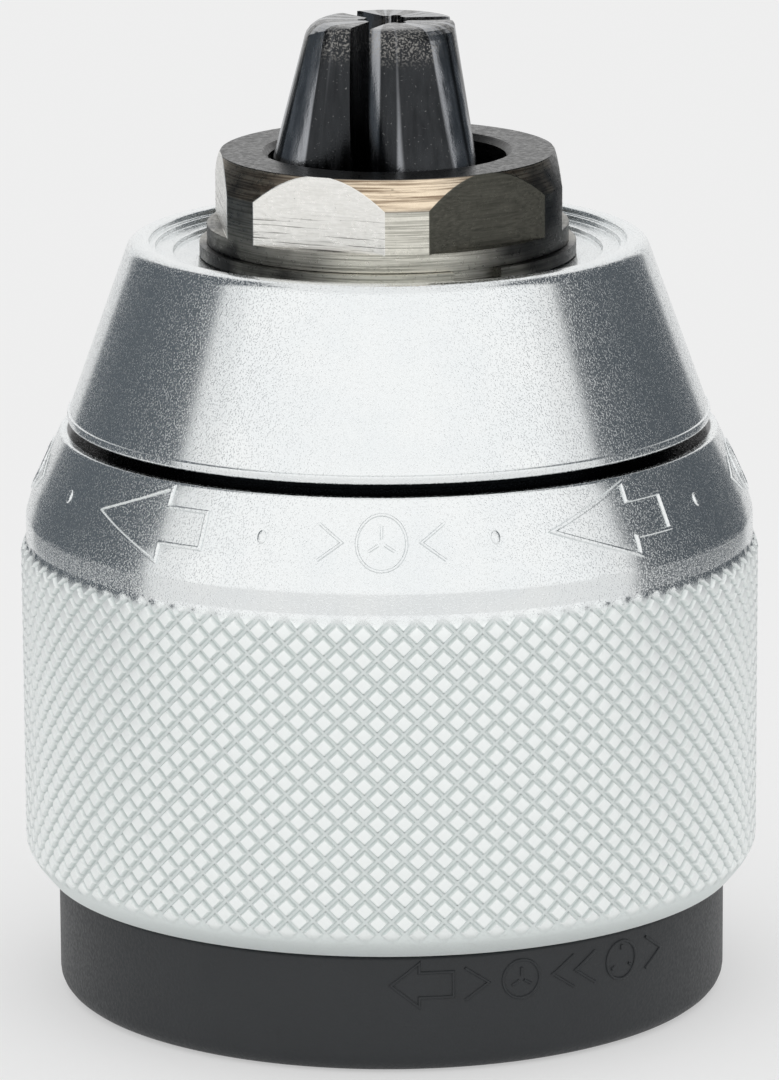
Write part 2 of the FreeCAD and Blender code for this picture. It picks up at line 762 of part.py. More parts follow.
def make_pawl(index):
    """Curved arm with a pivot pin; its nose drops into a ratchet tooth space."""
    pawl = new_body(f"pawl_{index}")
    inside = ratchet_radius + 0.65
    outside = ratchet_radius + 1.55
    peak = relief_radius - 0.25
    nose_radius = ratchet_radius + 0.25
    nose_back = PAWL_TIP - PAWL_TIP_WIDTH
    corners = [polar(inside, angle) for angle in (0, 6, 12, 18, 24)]
    corners += [polar(inside, nose_back - 1), polar(nose_radius + 0.25, nose_back + 1)]
    corners += [polar(nose_radius, PAWL_TIP), polar(outside, PAWL_TIP)]
    corners += [polar(outside, 28), polar(outside, CAM_PEAK + 7)]
    corners += [polar(peak, CAM_PEAK + 3), polar(peak, CAM_PEAK - 1)]
    corners += [polar(outside, CAM_PEAK - 5), polar(outside, 8), polar(outside, 0)]
    corners += [polar(outside - 0.2, -1.2), polar(inside + 0.2, -1.2)]
    extrude(pawl, f"arm_{index}", "PartDesign::Pad", pawl_back, pawl_thickness, corners)
    extrude(pawl, f"pin_{index}", "PartDesign::Pad", pawl_back + pawl_thickness, 1.6,
            circles=[(pivot_radius, 0, size.pin_radius)])
    return pawl


# ---------------------------------------------------------------- outer sleeves


def make_clamp_sleeve():
    """Sleeve that the hand turns; inside it drives the nut and cams the pawls."""
    sleeve = new_body("clamp_sleeve")
    foot = sleeve_bottom + size.sleeve_foot
    shoulder_back = sleeve_top - size.shoulder_length
    knurl_top = shoulder_back - size.smooth_length
    relief_bottom = flange_back + size.ring_overlap + 0.5
    wide = size.sleeve_radius
    rim = size.sleeve_rim_radius
    swell = wide - rim
    turn(sleeve, "sleeve_turning", [
        (sleeve_bore, sleeve_bottom),
        (rim, sleeve_bottom),
        (rim + swell * 0.45, sleeve_bottom + size.sleeve_foot * 0.3),
        (rim + swell * 0.8, sleeve_bottom + size.sleeve_foot * 0.65),
        (wide, foot),
        (wide, knurl_top),
        (size.sleeve_band_radius + 0.25, knurl_top + 0.15),
        (size.sleeve_band_radius, shoulder_back),
        (size.sleeve_band_radius - 0.45, shoulder_back + 1.5),
        (size.sleeve_top_radius + 0.35, sleeve_top - 0.75),
        (size.sleeve_top_radius, sleeve_top - 0.15),
        (size.sleeve_top_radius - 0.15, sleeve_top),
        (size.neck_radius + size.run_clearance, sleeve_top),
        (size.neck_radius + size.run_clearance, key_top),
        (key_radius, key_top),
        (key_radius, key_bottom),
        (relief_radius, key_bottom),
        (relief_radius, relief_bottom),
        (sleeve_bore, relief_bottom),
    ])
    play = 0.5
    slot = extrude(sleeve, "lug_slot", "PartDesign::Pocket", key_bottom - 0.2,
                   key_top - key_bottom, sector(
                       key_radius - 0.6, slot_radius,
                       -size.lug_angle / 2 - play,
                       size.lug_angle / 2 + size.lock_angle + play))
    repeat(sleeve, [slot], LUG_COUNT)
    cam_start = CAM_PEAK + size.lock_angle - CAM_HALF_WIDTH
    cam = extrude(sleeve, "pawl_cam", "PartDesign::Pad", pawl_back - 0.3,
                  size.race_thickness + 0.2, sector(
                      relief_radius - 0.5, relief_radius + 0.3,
                      cam_start + 1, cam_start + 2 * CAM_HALF_WIDTH + 1))
    repeat(sleeve, [cam], PAWL_COUNT)
    return sleeve


def make_front_sleeve():
    """Conical sleeve pressed on the body, with the neck the clamp sleeve turns on."""
    sleeve = new_body("front_sleeve")
    neck_bore = size.neck_radius - 1.3
    hub = size.front_core_radius + 1.2
    collar_hole = size.collar_radius + 0.1
    turn(sleeve, "cone_turning", [
        (size.front_core_radius, core_front + 1),
        (size.front_core_radius, collar_back),
        (collar_hole, collar_back),
        (collar_hole, cone_floor),
        (size.cone_mouth_radius - 1.6, cone_floor),
        (size.cone_mouth_radius - 1.6, cone_floor + 0.35),
        (size.cone_mouth_radius - 0.4, cone_floor + 0.35),
        (size.cone_mouth_radius - 0.4, cone_floor + 0.7),
        (size.cone_mouth_radius, cone_floor + 0.7),
        (size.cone_mouth_radius, cone_top - 0.35),
        (size.cone_mouth_radius + 0.35, cone_top),
        (size.cone_top_radius - 0.7, cone_top),
        (size.cone_top_radius - 0.05, cone_top - 0.3),
        (size.cone_top_radius + 0.4, cone_top - 1.1),
        (size.cone_radius - 0.2, cone_bottom + size.cone_lip + 1.4),
        (size.cone_radius - 0.15, cone_bottom + size.cone_lip + 0.15),
        (size.cone_radius, cone_bottom + size.cone_lip),
        (size.cone_radius, cone_bottom + 0.2),
        (size.cone_radius - 0.2, cone_bottom),
        (size.neck_radius, cone_bottom),
        (size.neck_radius, neck_bottom),
        (neck_bore, neck_bottom),
        (neck_bore, cone_bottom + 2),
        (hub + 0.4, cone_floor - 2),
        (hub, cone_floor - 2),
        (hub, core_front + 1),
    ])
    return sleeve


def make_rear_ring():
    """Plastic ring at the rear that the other hand holds; it covers the open jaws."""
    ring = new_body("rear_ring")
    corner = size.ring_corner
    wall_bore = flange_radius
    top = flange_back + size.ring_overlap
    floor_top = size.ring_recess + size.ring_floor
    rim_bore = size.ring_radius - 2.6
    corners = [
        (size.hub_radius, size.ring_recess),
        (rim_bore, size.ring_recess),
        (rim_bore, 0),
    ]
    for step in range(6):
        swing = 18.0 * step
        corners.append((size.ring_radius - corner + corner * sine(swing),
                        corner - corner * cosine(swing)))
    corners += [
        (size.ring_radius, size.ring_height - 0.3),
        (size.ring_radius - 0.3, size.ring_height),
        (ring_neck_radius, size.ring_height),
        (ring_neck_radius, top),
        (wall_bore, top),
        (wall_bore, floor_top),
        (size.hub_radius, floor_top),
    ]
    turn(ring, "ring_turning", corners)
    return ring


def split_ring(label, inner, width, level, thickness, opening):
    """Open retaining ring of square section, its gap ending over the X axis."""
    ring = new_body(label)
    turn(ring, label + "_turning", [
        (inner, level),
        (inner + width, level),
        (inner + width, level + thickness),
        (inner, level + thickness),
    ], angle=360.0 - opening)
    return ring


# ----------------------------------------------------------------- whole chuck

jaws = [make_jaw(index + 1) for index in range(JAW_COUNT)]
chuck_body = make_chuck_body()
nut_halves = make_nut_halves()
nut_band = make_nut_band()
ratchet_race = make_ratchet_race()
front_race = make_front_race()
ball_cage = make_ball_cage()
bearing_balls = make_balls()
pawls = [make_pawl(index + 1) for index in range(PAWL_COUNT)]
clamp_sleeve = make_clamp_sleeve()
front_sleeve = make_front_sleeve()
rear_ring = make_rear_ring()
rear_circlip = split_ring(
    "rear_circlip", size.hub_radius - size.circlip_groove, size.circlip_width,
    size.ring_recess - size.circlip_thickness, size.circlip_thickness, 34.0)
snap_ring = split_ring(
    "snap_ring", size.collar_radius - size.snap_groove, size.snap_width,
    cone_floor + 0.1, size.snap_thickness, 16.0)

pieces = {piece: 0.0 for piece in (
    chuck_body, *nut_halves, nut_band, ratchet_race, front_race, ball_cage,
    bearing_balls, clamp_sleeve, front_sleeve, rear_ring, rear_circlip, snap_ring)}
for index, jaw in enumerate(jaws):
    pieces[jaw] = 360.0 / JAW_COUNT * index
for index, pawl in enumerate(pawls):
    pieces[pawl] = 360.0 / PAWL_COUNT * index

for piece, angle in pieces.items():
    piece.Placement = FreeCAD.Placement(FreeCAD.Vector(), FreeCAD.Rotation(
        FreeCAD.Vector(0, 0, 1), size.facing.value + angle))
doc.recompute()

for item in doc.Objects:
    if {"Invalid", "Error"} & set(item.State):
        raise RuntimeError(f"{item.Label} did not compute: {item.State}")
for piece in pieces:
    if piece.Shape.isNull() or not piece.Shape.isValid():
        raise RuntimeError(f"{piece.Label} has no valid shape")
    if not piece.Shape.Solids:
        raise RuntimeError(f"{piece.Label} holds no solid")

for piece in pieces:
    piece.Shape.exportStep(f"parts/{piece.Label}.step")
    box = piece.Shape.BoundBox
    print(f"{piece.Label:16s} {len(piece.Shape.Solids):3d} solids "
          f"{piece.Shape.Volume:10.1f} mm3  z {box.ZMin:6.2f} to {box.ZMax:6.2f}")
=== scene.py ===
import math

import bmesh
import bpy
import numpy as np
from mathutils import Matrix, Vector


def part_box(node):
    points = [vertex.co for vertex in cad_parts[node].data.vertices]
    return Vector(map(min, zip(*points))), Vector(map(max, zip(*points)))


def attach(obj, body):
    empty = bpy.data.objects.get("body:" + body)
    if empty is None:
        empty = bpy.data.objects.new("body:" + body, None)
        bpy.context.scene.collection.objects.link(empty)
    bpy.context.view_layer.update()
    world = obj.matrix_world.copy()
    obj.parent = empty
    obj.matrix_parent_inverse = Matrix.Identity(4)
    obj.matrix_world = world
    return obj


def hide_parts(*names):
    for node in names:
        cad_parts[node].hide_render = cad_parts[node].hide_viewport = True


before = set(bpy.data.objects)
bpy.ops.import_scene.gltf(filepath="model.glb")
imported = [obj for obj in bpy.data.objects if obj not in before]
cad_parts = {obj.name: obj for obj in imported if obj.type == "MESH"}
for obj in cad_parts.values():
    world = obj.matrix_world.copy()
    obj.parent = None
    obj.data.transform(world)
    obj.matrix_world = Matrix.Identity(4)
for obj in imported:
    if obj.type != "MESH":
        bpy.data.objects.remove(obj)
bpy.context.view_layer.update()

# Looks of a keyless drill chuck: knurled and turned skins, raised marks, finishes,
# studio and camera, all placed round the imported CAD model.
#
# Outlines are (radius, level) in millimetres in the chuck's own frame, whose Z is the
# chuck axis, and they become metres when a mesh is made. An azimuth is in degrees:
# 0 faces the camera, along -Y, and 90 faces +X.

MM = 0.001


def levels(node):
    """Lowest and highest level of a CAD node, in millimetres."""
    low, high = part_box(node)
    return low.z / MM, high.z / MM


def reach(node):
    """Largest radius of a CAD node that keeps inside its box on every side, in millimetres."""
    low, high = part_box(node)
    return min(high.x, high.y, -low.x, -low.y) / MM


sleeve_bottom, sleeve_top = levels("clamp_sleeve")
neck_bottom, cone_top = levels("front_sleeve")
ring_bottom, ring_top = levels("rear_ring")
nose = levels("chuck_body")[1]
jaw_tip = levels("jaw_1")[1]
sleeve_radius = reach("clamp_sleeve")
cone_radius = reach("front_sleeve")
ring_radius = reach("rear_ring")

# ------------------------------------------------------------- sizes of the looks

# Clamp sleeve: knurled skin, smooth band, shoulder and rounded foot. The knurl's shares
# and depths give the groove's section along one pitch.
KNURL_COUNT = 90
KNURL_RISE = 1.68
KNURL_SHARES = np.array([0.0, 0.07, 0.20, 0.50, 0.80, 0.93])
KNURL_DEPTHS = np.array([0.37, 0.37, 0.05, 0.0, 0.05, 0.37])
SHOULDER_LENGTH = 5.7
BAND_LENGTH = 2.1
BAND_RADIUS = sleeve_radius - 0.4
FOOT_LENGTH = 2.5
FOOT_RADIUS = sleeve_radius - 1.4
RUN_OUT = 0.45
SKIN_RADIUS = 21.9

shoulder_back = sleeve_top - SHOULDER_LENGTH
knurl_top = shoulder_back - BAND_LENGTH
skin_low = sleeve_bottom + 1.0
skin_high = knurl_top + RUN_OUT + 0.1

# Front sleeve: cone, lip, stepped recess and hidden core.
CONE_HEIGHT = 12.2
CONE_LIP = 0.6
CONE_TOP_RADIUS = 17.35
MOUTH_RADIUS = 16.0
RECESS_DEPTH = 1.1
CORE_RADIUS = 14.5
COLLAR_HOLE = 12.25
COLLAR_BACK = nose - 7.85
NECK_RADIUS = 19.65
CORE_FRONT = 38.1
RECESS_STEP = 0.35
LOW_STEP_WIDTH = 1.6
HIGH_STEP_WIDTH = 0.4
STEP_EDGE = 0.08

cone_bottom = cone_top - CONE_HEIGHT
recess_floor = cone_top - RECESS_DEPTH

# Nose of the body: what is worn, and where.
BEVEL_LENGTH = 2.0
FLAT_DISTANCE = 11.2
FLATS_LENGTH = 4.85
FLAT_AZIMUTHS = (-144, -84, -24, 36, 96, 156)
BRIGHT_FLATS = (-84, -24, 96)
NOSE_OUTSIDE = (11.10, 11.25)
WORN_COLLAR_LENGTH = 6.9
WORN_FRONT = (-20, 28)
WORN_EDGE = 16

# ------------------------------------------------------------------ mesh helpers

SHARP_ANGLE = math.radians(34)
TURNED_SEGMENTS = 288


def rounded(corners, steps=6):
    """Outline through (radius, level, rounding) corners, with an arc at each rounding."""
    outline = []
    for index, (radius, level, rounding) in enumerate(corners):
        here = Vector((radius, level))
        if not rounding:
            outline.append((radius, level))
            continue
        back = Vector(corners[index - 1][:2]) - here
        ahead = Vector(corners[(index + 1) % len(corners)][:2]) - here
        half = back.angle(ahead) / 2
        run = min(rounding / math.tan(half), 0.48 * back.length, 0.48 * ahead.length)
        middle = (back.normalized() + ahead.normalized()).normalized()
        centre = here + middle * (run / math.cos(half))
        start = here + back.normalized() * run - centre
        end = here + ahead.normalized() * run - centre
        sweep = start.angle_signed(end)
        for step in range(steps + 1):
            spoke = start.copy()
            spoke.rotate(Matrix.Rotation(-sweep * step / steps, 2))
            outline.append(tuple(centre + spoke))
    return outline


def around(azimuth, radius, level):
    """Point at an azimuth in degrees, in metres."""
    turn = math.radians(azimuth)
    return Vector((math.sin(turn) * radius, -math.cos(turn) * radius, level)) * MM


def add_piece(name, bm, material, body, replaced=()):
    """Turns a closed bmesh into a piece that rides on a body."""
    bmesh.ops.recalc_face_normals(bm, faces=bm.faces)
    for face in bm.faces:
        face.smooth = True
    for edge in bm.edges:
        if len(edge.link_faces) == 2:
            edge.smooth = edge.calc_face_angle() < SHARP_ANGLE
    mesh = bpy.data.meshes.new(name)
    bm.to_mesh(mesh)
    bm.free()
    piece = bpy.data.objects.new(name, mesh)
    bpy.context.scene.collection.objects.link(piece)
    mesh.materials.append(material)
    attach(piece, body)
    if replaced:
        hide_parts(*replaced)
    return piece


def revolve(outline):
    """Closed ring whose section is a closed outline."""
    points = np.array(outline)
    turns = np.radians(np.arange(TURNED_SEGMENTS) * 360 / TURNED_SEGMENTS)
    x = np.outer(np.cos(turns), points[:, 0])
    y = np.outer(np.sin(turns), points[:, 0])
    z = np.broadcast_to(points[:, 1], x.shape)
    vertices = np.stack([x, y, z], axis=-1).reshape(-1, 3) * MM
    count = len(points)
    faces = []
    for turn in range(TURNED_SEGMENTS):
        here = turn * count
        beside = (turn + 1) % TURNED_SEGMENTS * count
        for point in range(count):
            after = (point + 1) % count
            faces.append((here + point, beside + point, beside + after, here + after))
    return bmesh_from(vertices, faces)


def bmesh_from(vertices, faces):
    mesh = bpy.data.meshes.new("scratch")
    mesh.from_pydata(vertices.tolist(), [], faces)
    bm = bmesh.new()
    bm.from_mesh(mesh)
    bpy.data.meshes.remove(mesh)
    return bm


# -------------------------------------------------------------- material helpers


class Shader:
    """A Principled material with short ways to add the nodes that drive it."""

    def __init__(self, name, **uniform):
        self.material = bpy.data.materials.new(name)
        self.material.use_nodes = True
        self.tree = self.material.node_tree
        self.surface = self.tree.nodes["Principled BSDF"]
        for socket, value in uniform.items():
            self.set(socket.replace("_", " "), value)
        place = self.tree.nodes.new("ShaderNodeTexCoord").outputs["Object"]
        split = self.add("ShaderNodeSeparateXYZ", Vector=place)
        self.place = place
        self.x, self.y, self.z = split.outputs
        self.radius = self.maths("SQRT", self.maths(
            "ADD", self.maths("MULTIPLY", self.x, self.x), self.maths("MULTIPLY", self.y, self.y)))
        self.azimuth = self.maths("ARCTAN2", self.x, self.maths("MULTIPLY", self.y, -1.0))

    def put(self, socket, value):
        if isinstance(value, bpy.types.NodeSocket):
            self.tree.links.new(value, socket)
        else:
            socket.default_value = value

    def set(self, socket, value):
        self.put(self.surface.inputs[socket], value)

    def add(self, kind, settings=(), **inputs):
        node = self.tree.nodes.new(kind)
        for name, value in dict(settings).items():
            setattr(node, name, value)
        for name, value in inputs.items():
            self.put(node.inputs[name.replace("_", " ")], value)
        return node

    def maths(self, operation, first, second=0.0):
        node = self.add("ShaderNodeMath", {"operation": operation})
        self.put(node.inputs[0], first)
        self.put(node.inputs[1], second)
        return node.outputs[0]

    def ramp(self, value, start, end, low=0.0, high=1.0):
        """Smooth change from low to high while value goes from start to end."""
        return self.add("ShaderNodeMapRange", {"interpolation_type": "SMOOTHSTEP"},
                        Value=value, From_Min=start, From_Max=end,
                        To_Min=low, To_Max=high).outputs["Result"]

    def between(self, value, start, end, soft):
        """1 where value lies between start and end, with soft edges."""
        return self.maths("MULTIPLY", self.ramp(value, start - soft, start + soft),
                          self.ramp(value, end - soft, end + soft, 1.0, 0.0))

    def noise(self, size, vector=None, detail=2.0):
        """Noise whose grain is about size, in metres where vector is the place."""
        return self.add("ShaderNodeTexNoise", Vector=vector or self.place,
                        Scale=1 / size, Detail=detail).outputs["Fac"]

    def lines(self, width, length_turn=0.5, by_radius=1.0):
        """Turning lines: noise that is long round the axis and narrow along it."""
        along = self.maths("MULTIPLY", self.azimuth, 1 / length_turn)
        across = self.maths("MULTIPLY", self.z, 1 / width)
        outwards = self.maths("MULTIPLY", self.radius, by_radius / width)
        vector = self.add("ShaderNodeCombineXYZ", X=along, Y=outwards, Z=across)
        return self.noise(1.0, vector.outputs[0], 3.0)

    def mix(self, share, first, second):
        node = self.add("ShaderNodeMix", {"data_type": "RGBA"})
        self.put(node.inputs[0], share)
        self.put(node.inputs[6], (*first, 1) if isinstance(first, tuple) else first)
        self.put(node.inputs[7], (*second, 1) if isinstance(second, tuple) else second)
        return node.outputs[2]

    def bump(self, *layers):
        """Bump from (height, depth in metres) layers."""
        normal = None
        for height, depth in layers:
            node = self.add("ShaderNodeBump", Height=height, Strength=1.0, Distance=depth)
            if normal is not None:
                self.put(node.inputs["Normal"], normal)
            normal = node.outputs["Normal"]
        self.set("Normal", normal)


def satin_chrome(name, knurl_finish_and_groove_shade=False):
    """Blasted chrome with fine pits, and painted shade that darkens the gap under the cone; the knurl
    option whitens the knurl, makes it rougher and less metallic, and greys its grooves with painted shade.
    """
    shader = Shader(name, Metallic=1.0)
    grain = shader.noise(0.00011, detail=1.0)
    cloud = shader.noise(0.004, detail=4.0)
    pits = shader.ramp(grain, 0.55, 0.70)
    colour = shader.mix(shader.ramp(cloud, 0.35, 0.65), (0.825, 0.85, 0.855), (0.85, 0.87, 0.87))
    rough = shader.ramp(grain, 0.3, 0.7, 0.14, 0.28)
    # Painted shade: the gap under the cone, between the cone and the clamp sleeve, is painted near black.
    gap_shade = shader.maths(
        "MULTIPLY", shader.ramp(shader.radius, (cone_radius + 0.10) * MM, (cone_radius - 0.05) * MM),
        shader.between(shader.z, neck_bottom * MM, (cone_bottom + 0.03) * MM, 0.00004))
    colour = shader.mix(gap_shade, colour, (0.012, 0.014, 0.016))
    if knurl_finish_and_groove_shade:
        # Painted shade: the knurl's grooves are greyed, more towards their floors.
        groove = shader.ramp(shader.radius, (sleeve_radius - 0.38) * MM,
                             (sleeve_radius - 0.10) * MM, 0.38, 0.0)
        below = shader.ramp(shader.z, (knurl_top + 0.5) * MM, (knurl_top - 0.3) * MM)
        colour = shader.mix(below, colour, (0.93, 0.96, 0.95))
        colour = shader.mix(shader.maths("MULTIPLY", groove, below), colour, (0.42, 0.49, 0.48))
        rough = shader.maths("ADD", rough, shader.maths("MULTIPLY", below, 0.20))
        shader.set("Metallic", shader.ramp(below, 0.0, 1.0, 1.0, 0.6))
    shader.set("Base Color", colour)
    shader.set("Roughness", rough)
    shader.bump((pits, 0.000011), (cloud, 0.000008))
    return shader.material


def black_oxide_body():
    """Blackened steel, worn to straw and bare metal on the bevel, collar and some flats."""
    shader = Shader("black_oxide_body", Metallic=1.0)
    streak = shader.lines(0.00012)
    fine = shader.lines(0.00005, 0.25)
    speck = shader.noise(0.0003, detail=3.0)
    colour = shader.mix(streak, (0.020, 0.021, 0.022), (0.075, 0.073, 0.070))
    facing_front = shader.between(
        shader.azimuth, math.radians(WORN_FRONT[0]), math.radians(WORN_FRONT[1]),
        math.radians(WORN_EDGE))
    patchy = shader.ramp(shader.noise(0.006, detail=3.0), 0.42, 0.60)
    worn = shader.maths("MAXIMUM", facing_front, shader.maths("MULTIPLY", patchy, 0.35))
    outside = shader.ramp(shader.radius, NOSE_OUTSIDE[0] * MM, NOSE_OUTSIDE[1] * MM)

    bevel = shader.between(shader.z, (nose - BEVEL_LENGTH) * MM, (nose - 0.05) * MM, 0.00004)
    bevel = shader.maths("MULTIPLY", shader.maths("MULTIPLY", bevel, outside), worn)
    straw = shader.mix(shader.ramp(streak, 0.35, 0.62), (0.30, 0.22, 0.15), (0.90, 0.76, 0.58))
    colour = shader.mix(bevel, colour, straw)

    collar = shader.between(shader.z, (nose - WORN_COLLAR_LENGTH) * MM, (nose - BEVEL_LENGTH) * MM, 0.0002)
    collar = shader.maths("MULTIPLY", shader.maths("MULTIPLY", collar, outside), worn)
    bright = shader.mix(shader.ramp(streak, 0.32, 0.62), (0.40, 0.39, 0.34), (0.80, 0.78, 0.70))
    colour = shader.mix(collar, colour, bright)

    high_up = shader.ramp(shader.z, (nose - FLATS_LENGTH - 0.1) * MM, (nose - FLATS_LENGTH) * MM)
    low_half = shader.ramp(shader.z, (nose - 2.2) * MM, (nose - 3.4) * MM)
    scratch = shader.ramp(shader.lines(0.00012, 0.6, by_radius=0.0), 0.56, 0.64, 0.0, 0.8)
    scratched = shader.maths("MULTIPLY", low_half, scratch)
    for direction in FLAT_AZIMUTHS:
        turn = math.radians(direction)
        distance = shader.maths("SUBTRACT", shader.maths("MULTIPLY", shader.x, math.sin(turn)),
                                shader.maths("MULTIPLY", shader.y, math.cos(turn)))
        face = shader.maths("MULTIPLY", high_up, shader.between(
            distance, (FLAT_DISTANCE - 0.03) * MM, (FLAT_DISTANCE + 0.03) * MM, 0.00001))
        if direction in BRIGHT_FLATS:
            metal = shader.mix(streak, (0.74, 0.73, 0.69), (0.95, 0.94, 0.91))
            metal = shader.mix(scratched, metal, (0.05, 0.045, 0.04))
        else:
            metal = shader.mix(streak, (0.035, 0.036, 0.030), (0.16, 0.155, 0.13))
        colour = shader.mix(face, colour, metal)

    colour = shader.mix(shader.ramp(speck, 0.70, 0.78, 0.0, 0.5), colour, (0.03, 0.03, 0.03))
    shader.set("Base Color", colour)
    shader.set("Roughness", shader.ramp(speck, 0.3, 0.7, 0.26, 0.42))
    shader.bump((streak, 0.000012), (fine, 0.000006), (speck, 0.000005))
    return shader.material


def black_oxide_jaw():
    """Glossy black oxide with long faint streaks, pin-prick wear that is denser near the tips, and painted
    reflections: broad light and dark bands round the chuck axis, the light ones as bright as highlights.
    """
    shader = Shader("black_oxide_jaw", Metallic=1.0)
    vector = shader.add("ShaderNodeVectorMath", {"operation": "MULTIPLY"})
    shader.put(vector.inputs[0], shader.place)
    vector.inputs[1].default_value = (1.0, 1.0, 0.12)
    streak = shader.noise(0.0005, vector.outputs[0], 4.0)
    pin = shader.noise(0.00014)
    # Painted reflection: broad light and dark bands stand in for the studio's reflections on the jaws, and
    # the light bands are painted highlights.
    around_axis = shader.add("ShaderNodeCombineXYZ", X=shader.maths("MULTIPLY", shader.azimuth, 5.0),
                             Z=shader.maths("MULTIPLY", shader.z, 25.0))
    band = shader.ramp(shader.noise(1.0, around_axis.outputs[0], 1.0), 0.45, 0.55)
    colour = shader.mix(streak, (0.012, 0.013, 0.014), (0.055, 0.058, 0.062))
    colour = shader.mix(band, colour, shader.mix(streak, (0.14, 0.145, 0.155), (0.50, 0.515, 0.54)))
    colour = shader.mix(shader.ramp(pin, 0.68, 0.76, 0.0, 0.5), colour, (0.4, 0.4, 0.4))
    tip = shader.between(shader.z, (jaw_tip - 1.9) * MM, (jaw_tip + 0.5) * MM, 0.0008)
    colour = shader.mix(shader.maths("MULTIPLY", tip, shader.ramp(pin, 0.48, 0.62, 0.0, 0.6)),
                        colour, (0.34, 0.33, 0.31))
    shader.set("Base Color", colour)
    shader.set("Roughness", shader.ramp(streak, 0.3, 0.7, 0.16, 0.30))
    shader.bump((streak, 0.00002), (pin, 0.000008))
    return shader.material


def moulded_plastic(name, dark, light, rough):
    """Moulded plastic with a fine spark-eroded texture."""
    shader = Shader(name)
    grain = shader.noise(0.00022, detail=3.0)
    cloud = shader.noise(0.005, detail=3.0)
    colour = shader.mix(grain, dark, light)
    shader.set("Base Color", shader.mix(shader.ramp(cloud, 0.3, 0.7, 0.0, 0.3), colour, light))
    shader.set("Roughness", shader.ramp(grain, 0.3, 0.7, rough - 0.08, rough + 0.08))
    shader.bump((grain, 0.00003), (cloud, 0.00002))
    return shader.material


def turned_steel(name, dark, light, smooth, rough):
    """Steel with turning lines round the chuck axis."""
    shader = Shader(name, Metallic=1.0)
    line = shader.lines(0.00010)
    smear = shader.noise(0.002, detail=3.0)
    shader.set("Base Color", shader.mix(shader.maths("MULTIPLY", line, smear), dark, light))
    shader.set("Roughness", shader.ramp(smear, 0.3, 0.7, smooth, rough))
    shader.bump((line, 0.000012),)
    return shader.material


# -------------------------------------------------------------------- the knurl


def foot_outline(level):
    """Radius of the rounded foot at a level."""
    share = np.clip((level - sleeve_bottom) / FOOT_LENGTH, 0, 1)
    return FOOT_RADIUS + (sleeve_radius - FOOT_RADIUS) * np.sin(share * math.pi / 2)


def knurled_band():
    """Diamond knurl on a lattice that runs along its two sets of grooves, closed round the axis."""
    shares = len(KNURL_SHARES)
    columns = KNURL_COUNT * shares
    per_level = 2 * shares / KNURL_RISE
    first = math.floor(skin_low * per_level) - 2 * shares
    last = math.ceil(skin_high * per_level) + 2 * shares
    rows = last - first + 1
    a, d = np.meshgrid(np.arange(columns), np.arange(first, last + 1), indexing="ij")
    b = a - d
    u = a // shares + KNURL_SHARES[a % shares]
    v = b // shares + KNURL_SHARES[b % shares]
    turn = math.pi * (u + v) / KNURL_COUNT
    level = KNURL_RISE * (u - v) / 2
    cut_u, cut_v = KNURL_DEPTHS[a % shares], KNURL_DEPTHS[b % shares]
    depth = np.minimum(np.maximum(cut_u, cut_v) + 0.25 * np.minimum(cut_u, cut_v), KNURL_DEPTHS[0])
    fall = (level - (knurl_top - RUN_OUT)) / (2 * RUN_OUT)
    run_out = sleeve_radius - (sleeve_radius - BAND_RADIUS) * np.clip(fall, 0, 1)
    radius = np.minimum(np.minimum(foot_outline(level), run_out), sleeve_radius - depth)
    vertices = np.stack([radius * np.cos(turn), radius * np.sin(turn), level], axis=-1)

    def number(column, row):
        return (column % columns) * rows + row

    column, row = np.meshgrid(np.arange(columns), np.arange(1, rows - 1), indexing="ij")
    corners = [number(column, row), number(column + 1, row + 1),
               number(column + 1, row), number(column, row - 1)]
    faces = np.stack([corner.ravel() for corner in corners], axis=-1)
    return bmesh_from(vertices.reshape(-1, 3) * MM, faces.tolist())


def trim(bm, level, above):
    """Cuts the skin at a level and drops what is above or below it."""
    everything = bm.verts[:] + bm.edges[:] + bm.faces[:]
    bmesh.ops.bisect_plane(bm, geom=everything, plane_co=(0, 0, level * MM), plane_no=(0, 0, 1),
                           clear_outer=above, clear_inner=not above)


def rim_edges(bm, level):
    """Open edges that lie at a level."""
    return [edge for edge in bm.edges if edge.is_boundary
            and all(abs(corner.co.z - level * MM) < 2e-6 for corner in edge.verts)]


def carry_on(bm, level, outline):
    """Extrudes the open rim at a level through the points of an outline."""
    rim = rim_edges(bm, level)
    for radius, height in outline:
        made = bmesh.ops.extrude_edge_only(bm, edges=rim)["geom"]
        rim = [item for item in made if isinstance(item, bmesh.types.BMEdge)]
        for corner in [item for item in made if isinstance(item, bmesh.types.BMVert)]:
            flat = corner.co.xy.normalized() * radius * MM
            corner.co = (flat.x, flat.y, height * MM)
        rim = [edge for edge in rim if edge.is_boundary]


def stitch(bm, level):
    """Joins the two open rims at a level with a flat ring of triangles, matched by azimuth."""
    corners = {corner for edge in rim_edges(bm, level) for corner in edge.verts}
    radii = [corner.co.xy.length for corner in corners]
    middle = (min(radii) + max(radii)) / 2

    def turned(corner):
        return math.atan2(corner.co.y, corner.co.x)

    outer = sorted((c for c in corners if c.co.xy.length > middle), key=turned)
    inner = sorted((c for c in corners if c.co.xy.length <= middle), key=turned)
    outer_turns = [turned(c) for c in outer] + [turned(outer[0]) + math.tau]
    inner_turns = [turned(c) for c in inner] + [turned(inner[0]) + math.tau]
    far, near = 0, 0
    while far < len(outer) or near < len(inner):
        here, beside = outer[far % len(outer)], inner[near % len(inner)]
        step_far = near == len(inner) or (far < len(outer)
                                          and outer_turns[far + 1] <= inner_turns[near + 1])
        if step_far:
            far += 1
            bm.faces.new((here, outer[far % len(outer)], beside))
        else:
            near += 1
            bm.faces.new((here, inner[near % len(inner)], beside))


